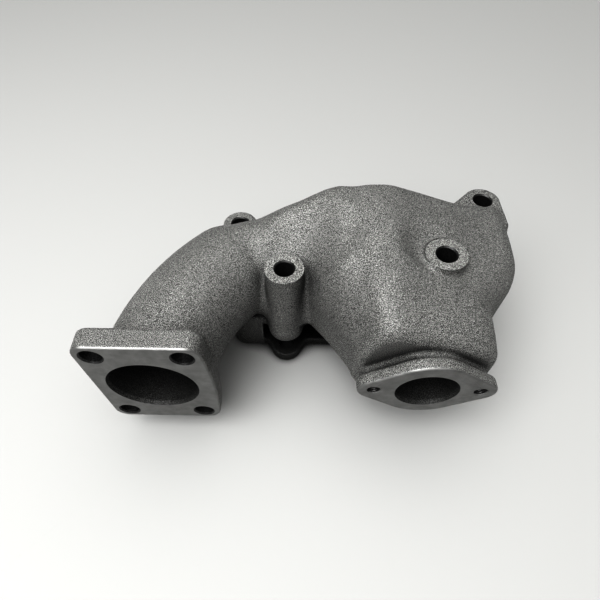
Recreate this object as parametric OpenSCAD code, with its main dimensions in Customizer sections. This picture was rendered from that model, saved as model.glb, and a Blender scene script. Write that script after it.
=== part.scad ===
// Exhaust manifold: two round gas ports on the front, one long port underneath,
// four upright bolt columns that clamp the casting down.
// The casting is built as its named sections, which meet face to face.
// Millimetres. Origin: centre of the large bore, on the plane of both front faces.
// +X runs from the large port to the small one, +Y goes back from the ports, +Z is up.

/* [Node] */
// section to show

/* [Large port] */
// bore of the large port
large_bore_d = 48; // [44:0.5:50]
// outside diameter of the large runner
runner_d = 62; // [60:0.5:64]
// bend radius of the large runner's centre line
bend_r = 114; // [112:1:116]
// thickness of the four-bolt flange
large_flange_t = 12; // [10:0.5:14]
// bolt spacing of the four-bolt flange across
large_bolts_x = 45; // [44:0.5:46]
// bolt spacing of the four-bolt flange up
large_bolts_z = 64; // [63:0.5:65]
// bolt hole diameter in the four-bolt flange
large_hole_d = 11; // [10:0.5:11.5]

/* [Small port] */
// centre of the small port across from the large one
small_x = 149; // [147:0.5:151]
// bore of the small port
small_bore_d = 33; // [30:0.5:34]
// spacing of the two tapped holes
small_bolts_x = 58; // [56:0.5:60]
// tapping diameter of the two holes
small_hole_d = 6.8; // [6:0.1:7]
// thickness of the two-bolt flange
small_flange_t = 8; // [7:0.5:9]

/* [Bolt columns] */
// outside diameter of a bolt column
column_d = 23; // [21:0.5:24]
// bolt hole diameter in a column
column_hole_d = 11; // [10:0.5:11.5]
// height of the front column's seat
front_seat_z = 28; // [26:0.5:29]
// height of the tall column's seat
tall_seat_z = 42; // [40:0.5:43]
// height of the rear left seat
left_seat_z = 5; // [4:0.5:8]
// height of the rear right seat
right_seat_z = 28; // [26:0.5:29]

/* [Casting] */
// wall thickness round the gas passages
wall = 6; // [5:0.5:7]
// height of the base face below the bores
base_z = -61; // [-62:0.5:-60]
// thickness of the base plate
base_t = 7; // [6:0.5:8]
// height of the collector's underside
deck_z = -34; // [-35:0.5:-33]
// thickness of the collector's floor plate
deck_t = 7; // [6:0.5:8]
// top of the collector
dome_z = 54; // [53:0.5:55]

/* [Hidden] */

$fn = 96;
BLEND_FN = 20;      // facets of the balls that round the collector
REACH = 400;        // longer than the casting, for cutting tools
CUT = 1;            // how far a cutting tool runs past the face it cuts
HAIR = 0.02;        // how far a tangent runs inside the circle it meets

// bolt positions on the base: a front row and a wider rear row
FRONT_BOLT = [70, 62];
TALL_BOLT = [159, 62];
LEFT_BOLT = [37, 122];
RIGHT_BOLT = [196, 122];

// four-bolt flange outline
LARGE_W = 64;
LARGE_H = 82;
LARGE_CORNER = 8;
LARGE_BULGE = 2;

// two-bolt flange outline and the collar behind it
SMALL_HUB_R = 26;
SMALL_TIP_R = 9;
COLLAR_STEP = 4;
TIP_STEP = 2;
NECK_Y = 16;

// where the runner's centre line enters the collector
INLET_ANGLE = 45;
INLET_AT = [bend_r - bend_r * cos(INLET_ANGLE), bend_r * sin(INLET_ANGLE), 0];

// section planes and blend sizes of the collector
BACK_Y = 113;
FRONT_Y = 50;
DOME_X = 66;
CROWN_X = [104, 132];
RIGHT_X = 189;
BALL_R = 20;
LOW_Z = deck_z + BALL_R;
HIGH_Z = dome_z - BALL_R;
SHOULDER_Y = 78;
SHOULDER_DROP = 6;
END_Y = 80;
END_Z = 16;

// channel behind the small port: four balls at its front, an upper and a lower pair behind
NECK_X = [125, 176];
NECK_Z = 12;
NECK_R = 15;
UPPER_X = [105, 165];
UPPER_AT = [72, 24];
UPPER_R = 20;
LOWER_X = [107, 167];
LOWER_AT = [70, -16];
LOWER_R = 18;

// base
BASE_X = [32, 197];
BASE_Y = [65, 113];
BASE_CORNER = 9;
EAR_R = 10.5;
EAR_FILLET = 7;
FOOT_X = [54, 174];
RISER_Y = 80;
BASE_TOP = base_z + base_t;
DECK_TOP = deck_z + deck_t;
PORT_X = [66, 162];
PORT_Y = [86, 107];
PORT_CORNER = 10;

// ---------------------------------------------------------------- outlines

// Rectangle between two corners with one corner radius.
module rounded_rect(x, y, r) {
    translate([x[0] + r, y[0]]) square([x[1] - x[0] - 2 * r, y[1] - y[0]]);
    translate([x[0], y[0] + r]) square([x[1] - x[0], y[1] - y[0] - 2 * r]);
    for (cx = [x[0] + r, x[1] - r], cy = [y[0] + r, y[1] - r])
        translate([cx, cy]) circle(r);
}

// Oval with a hub circle and two tips, joined by their straight tangents.
// The tangents run a hair inside both circles, so every outline crosses cleanly.
module oval(hub_r, tip_r, half_span) {
    lean = acos((hub_r - tip_r) / half_span);
    hub = (hub_r - HAIR) * [cos(lean), sin(lean)];
    tip = (tip_r - HAIR) * [cos(lean), sin(lean)] + [half_span, 0];
    circle(hub_r);
    for (side = [-1, 1])
        translate([side * half_span, 0]) circle(tip_r);
    polygon([
        [tip[0], tip[1]], [hub[0], hub[1]], [-hub[0], hub[1]], [-tip[0], tip[1]],
        [-tip[0], -tip[1]], [-hub[0], -hub[1]], [hub[0], -hub[1]], [tip[0], -tip[1]]
    ]);
}

// Ear round a bolt on a straight front edge, with a hollow fillet each side.
module ear(at, edge_y) {
    rise = edge_y - EAR_FILLET - at[1];
    reach = sqrt(pow(EAR_R + EAR_FILLET, 2) - rise * rise);
    touch = EAR_R / (EAR_R + EAR_FILLET);
    translate(at) circle(EAR_R);
    difference() {
        polygon([
            [at[0] - reach, edge_y + CUT],
            [at[0] - reach, edge_y],
            at + touch * [-reach, rise],
            at + touch * [reach, rise],
            [at[0] + reach, edge_y],
            [at[0] + reach, edge_y + CUT]
        ]);
        for (side = [-1, 1])
            translate([at[0] + side * reach, edge_y - EAR_FILLET]) circle(EAR_FILLET);
    }
}

// Outline shared by the base plate, the feet and the collector's floor.
module base_outline() {
    rounded_rect(BASE_X, BASE_Y, BASE_CORNER);
    ear(FRONT_BOLT, BASE_Y[0]);
    ear(TALL_BOLT, BASE_Y[0]);
}

// Plan of a rear lug: the column and the web that ties it to the wall at y = root.
module left_lug_plan(root) {
    translate(LEFT_BOLT) circle(d = column_d);
    translate([LEFT_BOLT[0] - column_d / 2, root])
        square([column_d, LEFT_BOLT[1] - root]);
}

module right_lug_plan(root) {
    r = column_d / 2;
    flank = RIGHT_BOLT + (r - HAIR) * [-cos(45), sin(45)];
    translate(RIGHT_BOLT) circle(r);
    polygon([
        flank,
        [flank[0] - (flank[1] - root), root],
        [RIGHT_BOLT[0] + r, root],
        RIGHT_BOLT + [r, 0]
    ]);
}

// Four-bolt flange: rounded corners, the right edge swells in a shallow arc.
module large_flange_outline() {
    half = LARGE_H / 2 - LARGE_CORNER;
    swell_r = (half * half + LARGE_BULGE * LARGE_BULGE) / (2 * LARGE_BULGE);
    rounded_rect([-LARGE_W / 2, LARGE_W / 2], [-LARGE_H / 2, LARGE_H / 2], LARGE_CORNER);
    intersection() {
        translate([LARGE_W / 2 + LARGE_BULGE - swell_r, 0]) circle(swell_r, $fn = 4 * $fn);
        translate([0, -half]) square([LARGE_W, 2 * half]);
    }
}

// ---------------------------------------------------------------- tools

module box(low, high) {
    translate(low) cube(high - low);
}

// Stands an outline drawn in X and Z up, from y = from to y = to.
module standing(from, to) {
    translate([0, to, 0]) rotate([90, 0, 0]) linear_extrude(to - from) children();
}

// Extrudes a plan outline from one height to another.
module raised(from, to) {
    translate([0, 0, from]) linear_extrude(to - from) children();
}

// Upright round bar at a plan position.
module upright(at, d, from, to) {
    raised(from, to) translate(at) circle(d = d);
}

module bolt_hole(at) {
    upright(at, column_hole_d, -REACH, REACH);
}

// Round bar along the large runner's centre line between two angles.
module bend(d, from, to) {
    translate([bend_r, 0, 0]) rotate([0, 0, 180 - to])
        rotate_extrude(angle = to - from, $fn = 2 * $fn)
            translate([bend_r, 0]) circle(d = d);
}

// Everything past the inlet's section plane.
module past_inlet() {
    translate([bend_r, 0, 0]) rotate([0, 0, 180 - INLET_ANGLE])
        box([0, -REACH, -REACH], [REACH, 0, REACH]);
    box([bend_r, -REACH, -REACH], [REACH, REACH, REACH]);
}

// ---------------------------------------------------------------- collector shape

// Ball of a blend, shrunk by inset for the inside.
module ball(at, r, inset) {
    translate(at) sphere(r - inset, $fn = BLEND_FN);
}

// Collector from the runner's end over the crown to the right-hand end.
module collector_blend(inset) {
    hull() {
        ball(INLET_AT, runner_d / 2, inset);
        for (x = CROWN_X) {
            ball([x, BACK_Y - BALL_R, HIGH_Z], BALL_R, inset);
            ball([x, SHOULDER_Y, HIGH_Z - SHOULDER_DROP], BALL_R, inset);
            ball([x, BACK_Y - BALL_R, LOW_Z], BALL_R, inset);
        }
        for (y = [END_Y, BACK_Y - BALL_R], z = [LOW_Z, END_Z])
            ball([RIGHT_X, y, z], BALL_R, inset);
    }
}

// Channel from the small port back into the collector.
module neck_blend(inset) {
    hull() {
        for (x = NECK_X, z = [-NECK_Z, NECK_Z])
            ball([x, NECK_Y + NECK_R, z], NECK_R, inset);
        for (x = UPPER_X)
            ball([x, UPPER_AT[0], UPPER_AT[1]], UPPER_R, inset);
        for (x = LOWER_X)
            ball([x, LOWER_AT[0], LOWER_AT[1]], LOWER_R, inset);
    }
}

module joined_blend(inset) {
    collector_blend(inset);
    neck_blend(inset);
}

module port(from, to) {
    raised(from, to) rounded_rect(PORT_X, PORT_Y, PORT_CORNER);
}

// Room the columns and lugs take out of the collector, with clear air over each seat.
module column_room() {
    for (at = [FRONT_BOLT, TALL_BOLT, LEFT_BOLT, RIGHT_BOLT])
        upright(at, column_d, -REACH, REACH);
}

// ---------------------------------------------------------------- sections

module four_bolt_flange() {
    color("silver") difference() {
        standing(0, large_flange_t) large_flange_outline();
        standing(-CUT, large_flange_t + CUT) circle(d = large_bore_d);
        for (x = [-1, 1], z = [-1, 1])
            standing(-CUT, large_flange_t + CUT)
                translate([x * large_bolts_x / 2, z * large_bolts_z / 2])
                    circle(d = large_hole_d);
    }
}

module large_runner() {
    color("dimgray") difference() {
        bend(runner_d, 0, INLET_ANGLE);
        bend(large_bore_d, -CUT, INLET_ANGLE + CUT);
        box([-REACH, -REACH, -REACH], [REACH, large_flange_t, REACH]);
        upright(LEFT_BOLT, column_d, -REACH, REACH);
    }
}

module collector_inlet() {
    color("gray") difference() {
        intersection() {
            collector_blend(0);
            past_inlet();
            box([0, 0, DECK_TOP], [DOME_X, BACK_Y, REACH]);
        }
        collector_blend(wall);
        column_room();
    }
}

module collector_dome() {
    color("darkgray") difference() {
        intersection() {
            joined_blend(0);
            box([DOME_X, FRONT_Y, DECK_TOP], [REACH, BACK_Y, REACH]);
        }
        joined_blend(wall);
        port(-REACH, LOW_Z);
        column_room();
    }
}

module small_port_neck() {
    color("gray") difference() {
        intersection() {
            neck_blend(0);
            box([0, 0, DECK_TOP], [REACH, FRONT_Y, REACH]);
        }
        neck_blend(wall);
        standing(0, NECK_Y + 2 * wall) translate([small_x, 0]) circle(d = small_bore_d);
    }
}

module small_port_collar() {
    color("dimgray") difference() {
        standing(small_flange_t, NECK_Y)
            translate([small_x, 0])
                oval(SMALL_HUB_R - COLLAR_STEP, SMALL_TIP_R - TIP_STEP, small_bolts_x / 2);
        standing(0, NECK_Y + CUT) translate([small_x, 0]) circle(d = small_bore_d);
        for (side = [-1, 1])
            standing(0, NECK_Y - CUT)
                translate([small_x + side * small_bolts_x / 2, 0]) circle(d = small_hole_d);
    }
}

module two_bolt_flange() {
    color("silver") difference() {
        standing(0, small_flange_t)
            translate([small_x, 0]) oval(SMALL_HUB_R, SMALL_TIP_R, small_bolts_x / 2);
        standing(-CUT, small_flange_t + CUT) translate([small_x, 0]) circle(d = small_bore_d);
        for (side = [-1, 1])
            standing(-CUT, small_flange_t + CUT)
                translate([small_x + side * small_bolts_x / 2, 0]) circle(d = small_hole_d);
    }
}

module collector_deck() {
    color("dimgray") difference() {
        raised(deck_z, DECK_TOP) base_outline();
        port(-REACH, REACH);
        bend(runner_d, 0, INLET_ANGLE);
        column_room();
    }
}

module port_riser() {
    color("gray") difference() {
        box([FOOT_X[0], RISER_Y, BASE_TOP], [FOOT_X[1], BACK_Y, deck_z]);
        port(-REACH, REACH);
        column_room();
    }
}

module foot(from, to) {
    color("dimgray") difference() {
        intersection() {
            raised(BASE_TOP, deck_z) base_outline();
            box([from, 0, -REACH], [to, REACH, REACH]);
        }
        column_room();
    }
}

module left_foot() {
    foot(0, FOOT_X[0]);
}

module right_foot() {
    foot(FOOT_X[1], REACH);
}

module base_plate() {
    color("silver") difference() {
        raised(base_z, BASE_TOP) {
            base_outline();
            left_lug_plan(RISER_Y);
            right_lug_plan(RISER_Y);
        }
        port(-REACH, REACH);
        for (at = [FRONT_BOLT, TALL_BOLT, LEFT_BOLT, RIGHT_BOLT])
            bolt_hole(at);
    }
}

module front_bolt_column() {
    color("gray") difference() {
        upright(FRONT_BOLT, column_d, deck_z, front_seat_z);
        bolt_hole(FRONT_BOLT);
    }
}

module tall_bolt_column() {
    color("gray") difference() {
        upright(TALL_BOLT, column_d, deck_z, tall_seat_z);
        bolt_hole(TALL_BOLT);
    }
}

module rear_left_lug() {
    color("gray") difference() {
        raised(BASE_TOP, left_seat_z) left_lug_plan(BACK_Y);
        bolt_hole(LEFT_BOLT);
    }
}

module rear_right_lug() {
    color("gray") difference() {
        raised(BASE_TOP, right_seat_z) right_lug_plan(BACK_Y);
        bolt_hole(RIGHT_BOLT);
    }
}

// ---------------------------------------------------------------- show

four_bolt_flange();
large_runner();
collector_inlet();
collector_dome();
small_port_neck();
small_port_collar();
two_bolt_flange();
collector_deck();
port_riser();
left_foot();
right_foot();
base_plate();
front_bolt_column();
tall_bolt_column();
rear_left_lug();
rear_right_lug();
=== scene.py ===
"""Looks of the exhaust manifold: one blended iron casting, cut into its named sections.

The shape is worked out in millimetres in the row's frame, as one distance field. It is
meshed whole, machined, and then split where the CAD nodes meet, one piece for each node.
"""

import math

import bpy
import numpy as np
import openvdb as vdb
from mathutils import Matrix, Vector


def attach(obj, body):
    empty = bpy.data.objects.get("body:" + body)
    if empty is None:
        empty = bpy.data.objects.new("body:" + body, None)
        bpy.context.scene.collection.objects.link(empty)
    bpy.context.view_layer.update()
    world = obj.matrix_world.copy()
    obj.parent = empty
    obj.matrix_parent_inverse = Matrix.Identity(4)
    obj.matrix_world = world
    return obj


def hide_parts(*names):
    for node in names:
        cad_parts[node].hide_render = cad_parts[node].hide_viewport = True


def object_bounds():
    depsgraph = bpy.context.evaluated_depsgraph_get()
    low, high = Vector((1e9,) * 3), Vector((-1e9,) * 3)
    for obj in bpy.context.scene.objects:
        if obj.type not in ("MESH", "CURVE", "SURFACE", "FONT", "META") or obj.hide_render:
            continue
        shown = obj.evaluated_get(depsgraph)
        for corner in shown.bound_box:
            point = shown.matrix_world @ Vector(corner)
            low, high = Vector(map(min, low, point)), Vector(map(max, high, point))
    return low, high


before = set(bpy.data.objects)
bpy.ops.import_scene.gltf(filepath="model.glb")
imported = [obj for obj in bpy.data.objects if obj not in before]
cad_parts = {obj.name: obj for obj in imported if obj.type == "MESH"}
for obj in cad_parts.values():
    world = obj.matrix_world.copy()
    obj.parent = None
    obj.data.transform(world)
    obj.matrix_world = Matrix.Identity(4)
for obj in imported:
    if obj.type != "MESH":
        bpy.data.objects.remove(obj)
CAD_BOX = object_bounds()

# ------------------------------------------------------------------ sizes, in millimetres

MM = 0.001
VOXEL = 0.8
GRID_LOW = np.array([-38.0, -5.0, -66.0])
GRID_HIGH = np.array([214.0, 138.0, 60.0])
FAR = 400.0

WALL = 6.0

# large port: runner, flange and its four holes
BEND_R = 114.0
RUNNER_R = 31.0
LARGE_BORE_R = 24.0
INLET_ANGLE = math.radians(45)

LARGE_HALF = (32.0, 41.0)
LARGE_CORNER = 8.0
LARGE_SWELL = 2.0
LARGE_T = 12.0
LARGE_BOLTS = (22.5, 32.0)
LARGE_HOLE_R = 5.5

# small port: bore, oval flange, collar and tapped holes
SMALL_X = 149.0
SMALL_BORE_R = 16.5
SMALL_HUB_R = 26.0
SMALL_TIP_R = 9.0
SMALL_SPAN = 29.0
SMALL_T = 8.0
COLLAR_STEP = 4.5
TAP_R = 3.4
TAP_DEPTH = 15.0
THREAD_PITCH = 1.25
THREAD_DEPTH = 0.5

# planes on which the CAD nodes meet
NECK_Y = 16.0
BACK_Y = 113.0
DOME_X = 66.0
DOME_Y = 50.0
DECK_Z = -34.0
DECK_TOP = -27.0

# bolt columns and lugs, and the heights of their seats
COLUMN_R = 11.5
COLUMN_HOLE_R = 5.5
FRONT_BOLT = (70.0, 62.0)
TALL_BOLT = (159.0, 62.0)
LEFT_BOLT = (37.0, 122.0)
RIGHT_BOLT = (196.0, 122.0)
FRONT_SEAT = 28.0
TALL_SEAT = 42.0
LEFT_SEAT = 5.0
RIGHT_SEAT = 28.0
SUNK_SEATS = ((FRONT_BOLT, FRONT_SEAT), (TALL_BOLT, TALL_SEAT))
SEATS = SUNK_SEATS + ((LEFT_BOLT, LEFT_SEAT), (RIGHT_BOLT, RIGHT_SEAT))

# base plate, feet, riser and the port in the base
BASE_Z = -61.0
BASE_TOP = -54.0
BASE_X = (32.0, 197.0)
BASE_Y = (65.0, 113.0)
BASE_CORNER = 9.0
EAR_R = 10.5
EAR_FILLET = 7.0
FOOT_X = (54.0, 174.0)
RISER_Y = 80.0
PORT_X = (66.0, 162.0)
PORT_Y = (86.0, 107.0)
PORT_CORNER = 10.0

# machining: broken edges, room round a sunk seat, metal milled off the base
CHAMFER = 0.8
SPOT_FACE_ROOM = 0.4
STOCK = 3.0

FLOOR_HALF = 9000.0
FLOOR_GAP = 0.2
FLOOR_GREY = 0.36

# piece names differ from the CAD nodes' names, which Blender's objects already have
PREFIX = "cast_"


# ------------------------------------------------------------------ distance fields


def meet(a, b, r):
    """Overlap of two fields, with the outer edge rounded to radius r."""
    over = np.hypot(np.maximum(a + r, 0), np.maximum(b + r, 0))
    return np.minimum(np.maximum(a, b), -r) + over


def join(a, b, r):
    """Union of two fields, with a fillet of radius r in the corner."""
    return -meet(-a, -b, r)


def blend(v, start, end):
    """Goes from 0 to 1 as a coordinate goes from start to end."""
    return np.clip((v - start) / (end - start), 0, 1)


def slab(v, low, high):
    """Layer between two values of one coordinate."""
    return np.maximum(low - v, v - high)


def disc(u, v, at, r):
    return np.hypot(u - at[0], v - at[1]) - r


def rounded_rect(u, v, u_range, v_range, corner):
    half_u = (u_range[1] - u_range[0]) / 2
    half_v = (v_range[1] - v_range[0]) / 2
    past_u = np.abs(u - sum(u_range) / 2) - half_u + corner
    past_v = np.abs(v - sum(v_range) / 2) - half_v + corner
    outside = np.hypot(np.maximum(past_u, 0), np.maximum(past_v, 0))
    return outside + np.minimum(np.maximum(past_u, past_v), 0) - corner


def polygon(u, v, points):
    """Signed distance to a closed outline, negative inside."""
    nearest = np.full(np.broadcast(u, v).shape, FAR)
    inside = np.zeros(nearest.shape, bool)
    for (u0, v0), (u1, v1) in zip(points, points[1:] + points[:1]):
        du = u1 - u0
        dv = v1 - v0
        t = np.clip(((u - u0) * du + (v - v0) * dv) / (du * du + dv * dv), 0, 1)
        nearest = np.minimum(nearest, np.hypot(u - u0 - t * du, v - v0 - t * dv))
        if dv != 0:
            crosses = (v0 > v) != (v1 > v)
            inside ^= crosses & (u < u0 + (v - v0) * du / dv)
    return np.where(inside, -nearest, nearest)


def oval(u, v, hub_r, tip_r, span):
    """Two-bolt outline: a hub circle, two tip circles and their straight tangents."""
    u = np.abs(u)
    v = np.abs(v)
    lean = (hub_r - tip_r) / span
    flat = math.sqrt(1 - lean * lean)
    along = flat * u - lean * v
    side = lean * u + flat * v - hub_r
    tip = np.hypot(u - span, v) - tip_r
    return np.where(along < 0, np.hypot(u, v) - hub_r, np.where(along > flat * span, tip, side))


def soften(values, reach):
    """Rounds the corners of a plan field with three running means in X and in Y."""
    half = max(1, round(reach / VOXEL / 2))
    for axis in (0, 1, 0, 1, 0, 1):
        if values.shape[axis] == 1:
            continue
        pad = [(0, 0)] * values.ndim
        pad[axis] = (half + 1, half)
        total = np.cumsum(np.pad(values, pad, mode="edge"), axis=axis)
        n = values.shape[axis]
        width = 2 * half + 1
        ends = np.take(total, range(width, width + n), axis=axis)
        starts = np.take(total, range(n), axis=axis)
        values = (ends - starts) / width
    return values


def runner(x, y, z, r):
    """Round bar along the bend of the large runner."""
    angle = np.clip(np.arctan2(y, BEND_R - x), -0.2, INLET_ANGLE)
    off = np.hypot(x - BEND_R * (1 - np.cos(angle)), y - BEND_R * np.sin(angle))
    return np.hypot(off, z) - r


# plan of the collector and the small port's channel, which run on past the planes that cut them
COLLECTOR_PLAN = [
    (113, -20), (188, -20), (188.5, 30), (187, 46), (201, 55), (208.0, 70), (208.0, 140),
    (20, 140), (34, 82), (60, 62), (82, 62), (97, 42), (110, 20),
]
# height of the collector's top along its back edge, from left to right
CROWN = [
    (33, 30.5), (52, 32), (69, 39.5), (89, 45.6), (101, 49.0), (110, 50.7), (118, 52.8), (131, 53),
    (151, 46.5), (170, 40), (196, 33), (209, 31),
]
NECK_FRONT_Y = 12.8
NECK_FLOOR_Z = -28.0
DISH_SLOPE = 0.75
DISH_FLAT = 4.5


def crown_height(x, y):
    """Top of the collector: an arch from left to right that falls towards the front."""
    arch = soften(np.interp(x, *zip(*CROWN)), 4)
    drop = 15 + 39 * blend(x, 120, 70)
    fall = drop * (np.clip(95 - y, 0, 100) / 75) ** 1.6
    for at, seat in SUNK_SEATS:
        dish = seat - 1.3 + DISH_SLOPE * np.maximum(disc(x, y, at, COLUMN_R + DISH_FLAT), 0)
        arch = np.minimum(arch, dish + fall)
    ledge = 2.5 * blend(x, 78, 100) * blend(x, 112, 101)
    return soften(arch - fall, 4) + soften(ledge, 2)


def collector(x, y, z):
    """Outside of the collector and of the channel behind the small port."""
    side = soften(polygon(x, y, COLLECTOR_PLAN), 8)
    top = (z - crown_height(x, y)) / 1.12
    floor = DECK_Z + (NECK_FLOOR_Z - DECK_Z) * blend(y, 60, 20) - z
    top_edge = 20 - 8 * blend(x, 165, 190)
    back_edge = 31 - 20 * blend(x, 33, 93) - 8 * blend(x, 180, 200)
    body = meet(meet(side, top, top_edge), floor, 16)
    body = meet(body, y - BACK_Y, back_edge)
    return meet(body, NECK_FRONT_Y - y, 6)


def base_outline(x, y):
    plan = rounded_rect(x, y, BASE_X, BASE_Y, BASE_CORNER)
    for at in (FRONT_BOLT, TALL_BOLT):
        plan = join(plan, disc(x, y, at, EAR_R), EAR_FILLET)
    return plan


def left_lug_plan(x, y):
    across = (LEFT_BOLT[0] - COLUMN_R, LEFT_BOLT[0] + COLUMN_R)
    web = rounded_rect(x, y, across, (BASE_Y[1] - 12, LEFT_BOLT[1]), 1)
    return np.minimum(disc(x, y, LEFT_BOLT, COLUMN_R), web)


def right_lug_plan(x, y):
    """Round lug with a 45 degree flank on its left side."""
    flank = COLUMN_R * math.sqrt(0.5)
    start = (RIGHT_BOLT[0] - flank, RIGHT_BOLT[1] + flank)
    right = RIGHT_BOLT[0] + COLUMN_R
    web = [start, (start[0] - 30, start[1] - 30), (right, start[1] - 30), (right, RIGHT_BOLT[1])]
    return np.minimum(disc(x, y, RIGHT_BOLT, COLUMN_R), polygon(x, y, web))


def upright(plan, z, low, high, edge):
    return meet(plan, slab(z, low, high), edge)


def base_block(x, y, z):
    """Riser, feet and the collector's floor, with the slot in front."""
    block = upright(base_outline(x, y), z, BASE_Z - STOCK, DECK_TOP, 2)
    slot = meet(slab(x, *FOOT_X), y - RISER_Y, 4)
    slot = meet(slot, slab(z, BASE_TOP, DECK_Z), 2.5)
    return np.maximum(block, -slot)


def base_plate(x, y, z):
    plan = join(base_outline(x, y), left_lug_plan(x, y), 5)
    plan = join(plan, right_lug_plan(x, y), 5)
    return upright(plan, z, BASE_Z - STOCK, BASE_TOP, 1)


def front_chamfer(outline, y):
    """Slope that breaks the edge between an outline and the face at y = 0."""
    return np.maximum(outline + CHAMFER - y, -4 - y) / math.sqrt(2)


def large_flange(x, y, z):
    swell = LARGE_SWELL * np.clip(1 - (z / 33) ** 2, 0, 1) * blend(x, 0, 30)
    across = (-LARGE_HALF[0], LARGE_HALF[0])
    up = (-LARGE_HALF[1], LARGE_HALF[1])
    outline = rounded_rect(x - swell, z, across, up, LARGE_CORNER)
    return np.maximum(meet(outline, y - LARGE_T, 1.2), front_chamfer(outline, y))


def small_flange(x, y, z):
    outline = oval(x - SMALL_X, z, SMALL_HUB_R, SMALL_TIP_R, SMALL_SPAN)
    rim = np.maximum(meet(outline, y - SMALL_T, 2.6), front_chamfer(outline, y))
    collar = np.maximum(outline + COLLAR_STEP, slab(y, -4, NECK_Y + 8))
    return join(rim, collar, 1.5)


def hollow(x, y, z, outside):
    """Gas passages: both runners, the collector and the port in the base."""
    room = join(runner(x, y, z, LARGE_BORE_R), outside + WALL, 8)
    bore = disc(x, z, (SMALL_X, 0), SMALL_BORE_R)
    room = join(room, np.maximum(bore, slab(y, -9, NECK_Y + 2 * WALL)), 3)
    port = rounded_rect(x, y, PORT_X, PORT_Y, PORT_CORNER)
    room = np.where(z > DECK_TOP, room, np.maximum(room, port))
    return join(room, np.maximum(port, slab(z, BASE_Z - 9, DECK_TOP + WALL)), 3)


def casting_field(x, y, z, outside, room):
    """The whole casting before machining."""
    tube = np.maximum(runner(x, y, z, RUNNER_R), LARGE_T - 3 - y)
    body = join(tube, outside, 8)
    body = join(body, base_block(x, y, z), 2.5)
    body = join(body, large_flange(x, y, z), 2.5)
    body = join(body, small_flange(x, y, z), 2)
    body = join(body, upright(left_lug_plan(x, y), z, BASE_Z - STOCK, LEFT_SEAT, 1.2), 4)
    body = join(body, upright(right_lug_plan(x, y), z, BASE_Z - STOCK, RIGHT_SEAT, 1.2), 3)
    body = np.minimum(body, base_plate(x, y, z))
    for at, seat in SUNK_SEATS:
        body = meet(body, -np.maximum(disc(x, y, at, COLUMN_R - 1), seat - z), 2)
    body = np.maximum(body, -room)
    fillet = (3 + 5 * blend(z, 15, -10)) * np.maximum(blend(z, DECK_Z, DECK_Z + 14), 0.12)
    for at, seat in SUNK_SEATS:
        body = join(body, upright(disc(x, y, at, COLUMN_R), z, DECK_Z, seat + 2, 1), fillet)
    return body


# ------------------------------------------------------------------ meshes and cutting tools


def grid_axes():
    """Coordinates of the grid's planes, shaped so that they spread over the whole grid."""
    size = np.ceil((GRID_HIGH - GRID_LOW) / VOXEL).astype(int)
    x, y, z = (low + VOXEL * np.arange(n) for low, n in zip(GRID_LOW, size))
    return x[:, None, None], y[None, :, None], z[None, None, :]


def sample(values, x, y, z):
    """Grid values at scattered points, each from the nearest grid point."""
    steps = [np.rint((c - low) / VOXEL).astype(int) for c, low in zip((x, y, z), GRID_LOW)]
    return values[tuple(np.clip(step, 0, n - 1) for step, n in zip(steps, values.shape))]


def field_mesh(name, values):
    """Meshes a distance field as an object in metres."""
    edge = 3 * VOXEL
    grid = vdb.FloatGrid(edge)
    grid.copyFromArray(np.clip(values, -edge, edge).astype(np.float32))
    points, quads = grid.convertToQuads(0.0)
    mesh = bpy.data.meshes.new(name)
    mesh.from_pydata(((GRID_LOW + VOXEL * points) * MM).tolist(), [], quads.tolist())
    mesh.update()
    return linked(name, mesh)


def linked(name, mesh):
    obj = bpy.data.objects.new(name, mesh)
    bpy.context.scene.collection.objects.link(obj)
    return obj


def solid(name, points, faces):
    """Closed mesh object from points in millimetres."""
    mesh = bpy.data.meshes.new(name)
    mesh.from_pydata([tuple(c * MM for c in p) for p in points], [], faces)
    mesh.update()
    return linked(name, mesh)


def loft(rings):
    """Closed solid through rings of equal length, capped at both ends."""
    n = len(rings[0])
    points = [p for ring in rings for p in ring]
    faces = [tuple(reversed(range(n)))]
    faces.append(tuple(range(len(points) - n, len(points))))
    for level in range(len(rings) - 1):
        start = level * n
        for i in range(n):
            j = (i + 1) % n
            faces.append((start + i, start + j, start + n + j, start + n + i))
    return solid("tool", points, faces)


def bar(at, axis, stations, radius, sides=96):
    """Round tool along Y or Z through at; radius depends on the station and the turn."""
    rings = []
    for s in stations:
        ring = []
        for i in range(sides):
            turn = i / sides
            u = at[0] + radius(s, turn) * math.cos(2 * math.pi * turn)
            v = at[1] + radius(s, turn) * math.sin(2 * math.pi * turn)
            ring.append((u, v, s) if axis == "z" else (u, s, v))
        rings.append(ring if axis == "z" else ring[::-1])
    return loft(rings)


def rod(at, r, low, high):
    """Upright round tool of one radius."""
    return bar(at, "z", [low, high], lambda s, turn: r)


def hole(at, axis, r, start, end):
    """Drilled hole with a small chamfer at each mouth."""
    wide = r + CHAMFER
    stations = [start - 3, start, start + CHAMFER, end - CHAMFER, end, end + 3]
    radii = [wide, wide, r, r, wide, wide]
    return bar(at, axis, stations, lambda s, turn: np.interp(s, stations, radii))


def bore_edge(at, r):
    """Small cone that breaks the front edge of a gas bore."""
    stations = [-3, 0, 3 * CHAMFER]
    radii = [r + CHAMFER, r + CHAMFER, r]
    return bar(at, "y", stations, lambda s, turn: np.interp(s, stations, radii))


def tapped_hole(at):
    """Blind M8 hole in the small flange, with a helical groove for its thread."""
    steps = int(TAP_DEPTH / THREAD_PITCH * 4)
    stations = [-3, 0] + [0.6 + THREAD_PITCH / 4 * i for i in range(steps)]

    def radius(s, turn):
        if s <= 0:
            return TAP_R + 1.1
        phase = (s / THREAD_PITCH - turn) % 1
        return TAP_R + THREAD_DEPTH * (1 - abs(2 * phase - 1))

    return bar(at, "y", stations, radius)


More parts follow.
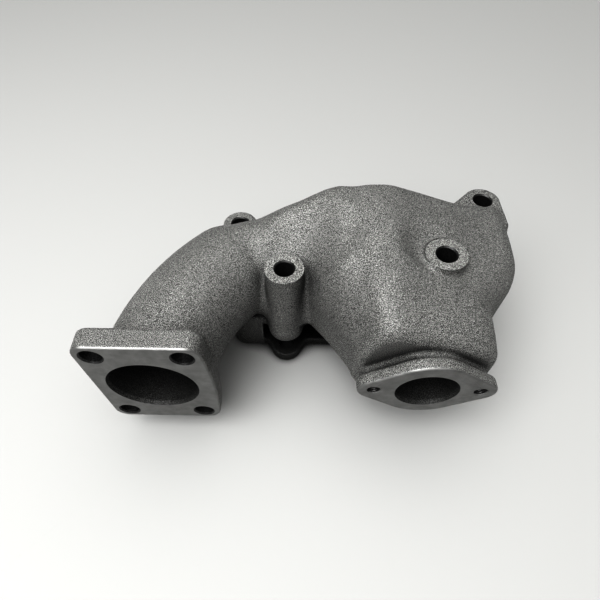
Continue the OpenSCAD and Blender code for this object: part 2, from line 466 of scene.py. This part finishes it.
def box(low, high):
    ends = [low, high]
    points = [(ends[i][0], ends[j][1], ends[k][2]) for i in (0, 1) for j in (0, 1) for k in (0, 1)]
    faces = [(0, 1, 3, 2), (4, 6, 7, 5), (0, 4, 5, 1), (2, 3, 7, 6), (0, 2, 6, 4), (1, 5, 7, 3)]
    return solid("tool", points, faces)


def carved(obj, tool, operation):
    """Mesh of obj after one boolean with tool."""
    mod = obj.modifiers.new("carve", "BOOLEAN")
    mod.operation = operation
    mod.solver = "MANIFOLD"
    mod.object = tool
    depsgraph = bpy.context.evaluated_depsgraph_get()
    mesh = bpy.data.meshes.new_from_object(obj.evaluated_get(depsgraph))
    obj.modifiers.remove(mod)
    return mesh


def cut(obj, tool):
    obj.data = carved(obj, tool, "DIFFERENCE")
    bpy.data.objects.remove(tool)


def keep_inside(obj, tool):
    obj.data = carved(obj, tool, "INTERSECT")
    bpy.data.objects.remove(tool)


def split_off(obj, node, tool):
    """Takes the part of obj inside tool as the piece for one CAD node."""
    piece = linked(PREFIX + node, carved(obj, tool, "INTERSECT"))
    cut(obj, tool)
    return piece


# ------------------------------------------------------------------ machining


def machine(casting):
    """Faces and holes that a mill and a drill leave on the casting."""
    keep_inside(casting, box(CAD_BOX[0] / MM, CAD_BOX[1] / MM))
    cut(casting, box((-FAR, -FAR, -FAR), (FAR, 0, FAR)))
    cut(casting, box((-FAR, -FAR, -FAR), (FAR, FAR, BASE_Z)))
    for at, seat in SUNK_SEATS:
        cut(casting, rod(at, COLUMN_R + SPOT_FACE_ROOM, seat, FAR))
    for at, seat in SEATS:
        cut(casting, hole(at, "z", COLUMN_HOLE_R, BASE_Z, seat))
    for x in (-LARGE_BOLTS[0], LARGE_BOLTS[0]):
        for z in (-LARGE_BOLTS[1], LARGE_BOLTS[1]):
            cut(casting, hole((x, z), "y", LARGE_HOLE_R, 0, LARGE_T))
    for side in (-1, 1):
        cut(casting, tapped_hole((SMALL_X + side * SMALL_SPAN, 0)))
    cut(casting, bore_edge((0, 0), LARGE_BORE_R))
    cut(casting, bore_edge((SMALL_X, 0), SMALL_BORE_R))


# ------------------------------------------------------------------ splitting into nodes


def quarter_turn_box():
    """Tool that holds the runner's side of the inlet's section plane."""
    out = (math.cos(math.pi - INLET_ANGLE), math.sin(math.pi - INLET_ANGLE))
    back = (out[1], -out[0])
    corners = [
        (BEND_R, 0),
        (BEND_R + FAR * out[0], FAR * out[1]),
        (BEND_R + FAR * (out[0] - back[0]), FAR * (out[1] - back[1])),
        (BEND_R - FAR * back[0], -FAR * back[1]),
    ]
    return loft([[(x, y, -FAR) for x, y in corners], [(x, y, FAR) for x, y in corners]])


def split(casting):
    """One closed piece for each CAD node, meeting on the same section planes."""
    low = (-FAR, -FAR, -FAR)
    middle = (LARGE_HALF[0] + SMALL_X) / 2
    pieces = [split_off(casting, "base_plate", box(low, (FAR, FAR, BASE_TOP)))]
    lugs = split_off(casting, "rear_right_lug", box((-FAR, BACK_Y, -FAR), (FAR, FAR, FAR)))
    pieces.append(split_off(lugs, "rear_left_lug", box(low, (middle, FAR, FAR))))
    pieces.append(lugs)
    pieces.append(split_off(casting, "four_bolt_flange", box(low, (middle, LARGE_T, FAR))))
    pieces.append(split_off(casting, "two_bolt_flange", box(low, (FAR, SMALL_T, FAR))))
    pieces.append(split_off(casting, "small_port_collar", box(low, (FAR, NECK_Y, FAR))))
    for name, at in (("front_bolt_column", FRONT_BOLT), ("tall_bolt_column", TALL_BOLT)):
        pieces.append(split_off(casting, name, rod(at, COLUMN_R, DECK_TOP, FAR)))
    pieces.append(split_off(casting, "left_foot", box(low, (FOOT_X[0], FAR, DECK_Z))))
    pieces.append(split_off(casting, "right_foot", box((FOOT_X[1], -FAR, -FAR), (FAR, FAR, DECK_Z))))
    pieces.append(split_off(casting, "port_riser", box(low, (FAR, FAR, DECK_Z))))
    pieces.append(split_off(casting, "large_runner", quarter_turn_box()))
    pieces.append(split_off(casting, "collector_deck", box(low, (FAR, FAR, DECK_TOP))))
    pieces.append(split_off(casting, "collector_inlet", box(low, (DOME_X, FAR, FAR))))
    pieces.append(split_off(casting, "small_port_neck", box(low, (FAR, DOME_Y, FAR))))
    casting.name = PREFIX + "collector_dome"
    pieces.append(casting)
    return pieces


# ------------------------------------------------------------------ materials


def shader(name):
    """New node material with its Principled shader and object coordinates."""
    mat = bpy.data.materials.new(name)
    mat.use_nodes = True
    nodes = mat.node_tree.nodes
    coords = nodes.new("ShaderNodeTexCoord").outputs["Object"]
    return mat, mat.node_tree, nodes["Principled BSDF"], coords


def noise(tree, coords, feature, detail=2.0, rough=0.6):
    """Noise with features of a given size in millimetres."""
    node = tree.nodes.new("ShaderNodeTexNoise")
    node.inputs["Scale"].default_value = 1 / (feature * MM)
    node.inputs["Detail"].default_value = detail
    node.inputs["Roughness"].default_value = rough
    tree.links.new(coords, node.inputs["Vector"])
    return node.outputs["Fac"]


def ramp(tree, value, stops):
    """Colour ramp of greys: stops are (position, grey)."""
    node = tree.nodes.new("ShaderNodeValToRGB")
    elements = node.color_ramp.elements
    while len(elements) < len(stops):
        elements.new(0.5)
    for element, (position, grey) in zip(elements, stops, strict=True):
        element.position = position
        element.color = (grey, grey, grey * 0.99, 1)
    tree.links.new(value, node.inputs["Fac"])
    return node.outputs["Color"]


def multiplied(tree, a, b):
    node = tree.nodes.new("ShaderNodeMix")
    node.data_type = "RGBA"
    node.blend_type = "MULTIPLY"
    node.inputs["Factor"].default_value = 1.0
    tree.links.new(a, node.inputs[6])
    tree.links.new(b, node.inputs[7])
    return node.outputs[2]


def bumped(tree, height, depth, below=None):
    """Bump of a given depth in millimetres, on top of another bump."""
    node = tree.nodes.new("ShaderNodeBump")
    node.inputs["Distance"].default_value = depth * MM
    tree.links.new(height, node.inputs["Height"])
    if below is not None:
        tree.links.new(below, node.inputs["Normal"])
    return node.outputs["Normal"]


def openness(tree, reach, samples):
    """How free a point is of surfaces within reach, in millimetres: 1 is wide open."""
    node = tree.nodes.new("ShaderNodeAmbientOcclusion")
    node.samples = samples
    node.inputs["Distance"].default_value = reach * MM
    return node.outputs["AO"]


def painted_crevice_shade(tree):
    """Painted shade: darkens the base colour in grooves, slots and deep holes, where nearby surfaces
    close in.
    """
    return ramp(tree, openness(tree, 50, 6), [(0.25, 0.03), (0.75, 1.0)])


def cast_iron(name, shade):
    """Shot-blasted casting: fine salt-and-pepper grain over soft tone changes, with painted shade in
    its crevices.
    """
    mat, tree, bsdf, coords = shader(name)
    grain = noise(tree, coords, 0.32, detail=1)
    pits = noise(tree, coords, 1.1)
    patches = noise(tree, coords, 30, detail=4)
    tone = ramp(tree, grain, [(0.36, 0.01 * shade), (0.5, 0.10 * shade), (0.62, 0.42 * shade)])
    drift = ramp(tree, patches, [(0.3, 0.86), (0.7, 1.0)])
    # painted shade: the base colour is darkened where nearby surfaces close in
    tone = multiplied(tree, multiplied(tree, tone, drift), painted_crevice_shade(tree))
    tree.links.new(tone, bsdf.inputs["Base Color"])
    gloss = ramp(tree, grain, [(0.35, 0.62), (0.65, 0.42)])
    tree.links.new(gloss, bsdf.inputs["Roughness"])
    bsdf.inputs["Metallic"].default_value = 0.15
    bsdf.inputs["Specular IOR Level"].default_value = 0.35
    below = bumped(tree, pits, 0.1)
    tree.links.new(bumped(tree, grain, 0.12, below), bsdf.inputs["Normal"])
    return mat


def machined_iron():
    """Milled face: even satin grey with very fine lines across it."""
    mat, tree, bsdf, coords = shader("machined_iron")
    stretch = tree.nodes.new("ShaderNodeMapping")
    stretch.inputs["Scale"].default_value = (0.06, 1, 1)
    tree.links.new(coords, stretch.inputs["Vector"])
    lines = noise(tree, stretch.outputs["Vector"], 0.5)
    stains = noise(tree, coords, 9, detail=4)
    specks = noise(tree, coords, 0.5, detail=3)
    tone = ramp(tree, stains, [(0.35, 0.19), (0.65, 0.25)])
    dots = ramp(tree, specks, [(0.28, 0.55), (0.38, 1.0)])
    tree.links.new(multiplied(tree, tone, dots), bsdf.inputs["Base Color"])
    tree.links.new(ramp(tree, lines, [(0.3, 0.38), (0.7, 0.5)]), bsdf.inputs["Roughness"])
    bsdf.inputs["Metallic"].default_value = 0.75
    tree.links.new(bumped(tree, lines, 0.02), bsdf.inputs["Normal"])
    return mat


def drilled_iron():
    """Wall of a drilled hole: metal darkened with painted shade, with faint rings left by the drill.
    """
    mat, tree, bsdf, coords = shader("drilled_iron")
    rings = noise(tree, coords, 0.7, detail=3)
    # painted shade: the base colour is kept near black for the shade inside the holes
    tree.links.new(ramp(tree, rings, [(0.35, 0.03), (0.65, 0.09)]), bsdf.inputs["Base Color"])
    tree.links.new(ramp(tree, rings, [(0.3, 0.34), (0.7, 0.5)]), bsdf.inputs["Roughness"])
    bsdf.inputs["Metallic"].default_value = 0.8
    tree.links.new(bumped(tree, rings, 0.04), bsdf.inputs["Normal"])
    return mat


# the second kind takes a darkened copy of the cast iron: painted shade in the passages and the slot
ROUGH, PAINTED_SHADE, MILLED, DRILLED, SEAT = range(5)


def near(value, target):
    return np.abs(value - target) < 0.05


def surface_kinds(mesh, room):
    """Material index of every face, told from where the face lies and how it faces."""
    n = len(mesh.polygons)
    centre = np.empty(3 * n)
    normal = np.empty(3 * n)
    mesh.polygons.foreach_get("center", centre)
    mesh.polygons.foreach_get("normal", normal)
    x, y, z = centre.reshape(n, 3).T / MM
    ny, nz = normal.reshape(n, 3).T[1:]
    kind = np.full(n, ROUGH)

    # painted shade: faces of the gas passages and of the slot under the deck get a darkened copy of
    # the cast iron
    kind[sample(room, x, y, z) < 1.5] = PAINTED_SHADE
    slot = (slab(x, *FOOT_X) < 0.5) & (z < DECK_Z + 1) & (z > BASE_Z + 1)
    kind[slot & (y < RISER_Y + 0.5)] = PAINTED_SHADE

    kind[(y < CHAMFER + 0.1) & (ny < -0.3)] = MILLED
    kind[near(z, BASE_Z) & (nz < -0.9)] = MILLED
    for at, seat in SUNK_SEATS:
        kind[near(z, seat) & (nz > 0.9) & (disc(x, y, at, COLUMN_R + 1) < 0)] = SEAT
    for at in (FRONT_BOLT, TALL_BOLT, LEFT_BOLT, RIGHT_BOLT):
        kind[(disc(x, y, at, COLUMN_HOLE_R + CHAMFER) < 0.05) & (np.abs(nz) < 0.8)] = DRILLED
    across = np.abs(x)
    up = np.abs(z)
    wall = (disc(across, up, LARGE_BOLTS, LARGE_HOLE_R + CHAMFER) < 0.05) & (np.abs(ny) < 0.8)
    kind[wall & (y < LARGE_T)] = DRILLED
    across = np.abs(x - SMALL_X)
    wall = (disc(across, z, (SMALL_SPAN, 0), TAP_R + THREAD_DEPTH) < 0.05) & (y < TAP_DEPTH + 1)
    kind[wall & (y > CHAMFER)] = DRILLED
    return kind


# ------------------------------------------------------------------ scene


def build():
    """Makes the casting, gives every face its material and ties each piece to its node."""
    x, y, z = grid_axes()
    outside = collector(x, y, z)
    room = hollow(x, y, z, outside)
    casting = field_mesh("casting", casting_field(x, y, z, outside, room))
    machine(casting)
    pieces = split(casting)
    mats = [
        cast_iron("cast_iron", 1.0),
        # painted shade: darkened copy of the cast iron for the passages and the slot
        cast_iron("cast_iron_inside", 0.3),
        machined_iron(),
        drilled_iron(),
        cast_iron("seat_iron", 1.2),
    ]
    for piece in pieces:
        mesh = piece.data
        mesh.materials.clear()
        for mat in mats:
            mesh.materials.append(mat)
        mesh.polygons.foreach_set("material_index", surface_kinds(mesh, room))
        mesh.polygons.foreach_set("use_smooth", [True] * len(mesh.polygons))
        mesh.set_sharp_from_angle(angle=math.radians(35))
        node = piece.name.removeprefix(PREFIX)
        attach(piece, "root")
        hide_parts(node)


def add_floor():
    """Wide pale floor just under the base, with a painted contact shadow where the casting stands.
    """
    z = BASE_Z - FLOOR_GAP
    corners = [(-1, -1), (1, -1), (1, 1), (-1, 1)]
    floor = solid("floor", [(u * FLOOR_HALF, v * FLOOR_HALF, z) for u, v in corners], [(0, 1, 2, 3)])
    mat, tree, bsdf, _ = shader("floor")
    # painted shadow: the floor's colour goes dark where the casting closes over it
    tone = ramp(tree, openness(tree, 12, 16), [(0.4, 0.01), (0.85, FLOOR_GREY)])
    tree.links.new(tone, bsdf.inputs["Base Color"])
    bsdf.inputs["Roughness"].default_value = 0.9
    floor.data.materials.append(mat)


def add_key_light():
    """Large soft light over the casting's front left."""
    light = bpy.data.lights.new("key", "AREA")
    light.size = 0.8
    light.energy = 15
    at = Vector((-0.22, -0.34, 0.8))
    look = Vector((0.09, 0.06, 0))
    key = bpy.data.objects.new("key", light)
    key.location = at
    key.rotation_euler = (look - at).to_track_quat("-Z", "Y").to_euler()
    bpy.context.scene.collection.objects.link(key)


def add_dome():
    """Soft studio dome, bright overhead, dark at the sides and pale at the horizon."""
    world = bpy.data.worlds.new("studio")
    world.use_nodes = True
    tree = world.node_tree
    coords = tree.nodes.new("ShaderNodeTexCoord")
    split_up = tree.nodes.new("ShaderNodeSeparateXYZ")
    tree.links.new(coords.outputs["Generated"], split_up.inputs["Vector"])
    dome = ramp(tree, split_up.outputs["Z"], [(0.1, 0.3), (0.2, 0.02), (0.45, 0.02), (1.0, 1.0)])
    dome.node.color_ramp.interpolation = "EASE"
    tree.links.new(dome, tree.nodes["Background"].inputs["Color"])
    tree.nodes["Background"].inputs["Strength"].default_value = 2.9
    bpy.context.scene.world = world


def add_camera():
    """Camera at the photo's place, 55 degrees above the horizon; the shifts follow its crop."""
    data = bpy.data.cameras.new("camera")
    data.lens = 26.88
    data.sensor_width = 36
    data.shift_x = 0.0075
    data.shift_y = 0.02033
    data.clip_start = 0.01
    camera = bpy.data.objects.new("camera", data)
    camera.location = (0.07968, -0.10464, 0.22416)
    camera.rotation_euler = (math.radians(90 - 55.2), 0, math.radians(1.11))
    bpy.context.scene.collection.objects.link(camera)
    bpy.context.scene.camera = camera


bpy.context.scene.view_settings.view_transform = "Standard"
bpy.context.scene.view_settings.gamma = 0.6
build()
add_floor()
add_dome()
add_key_light()
add_camera()
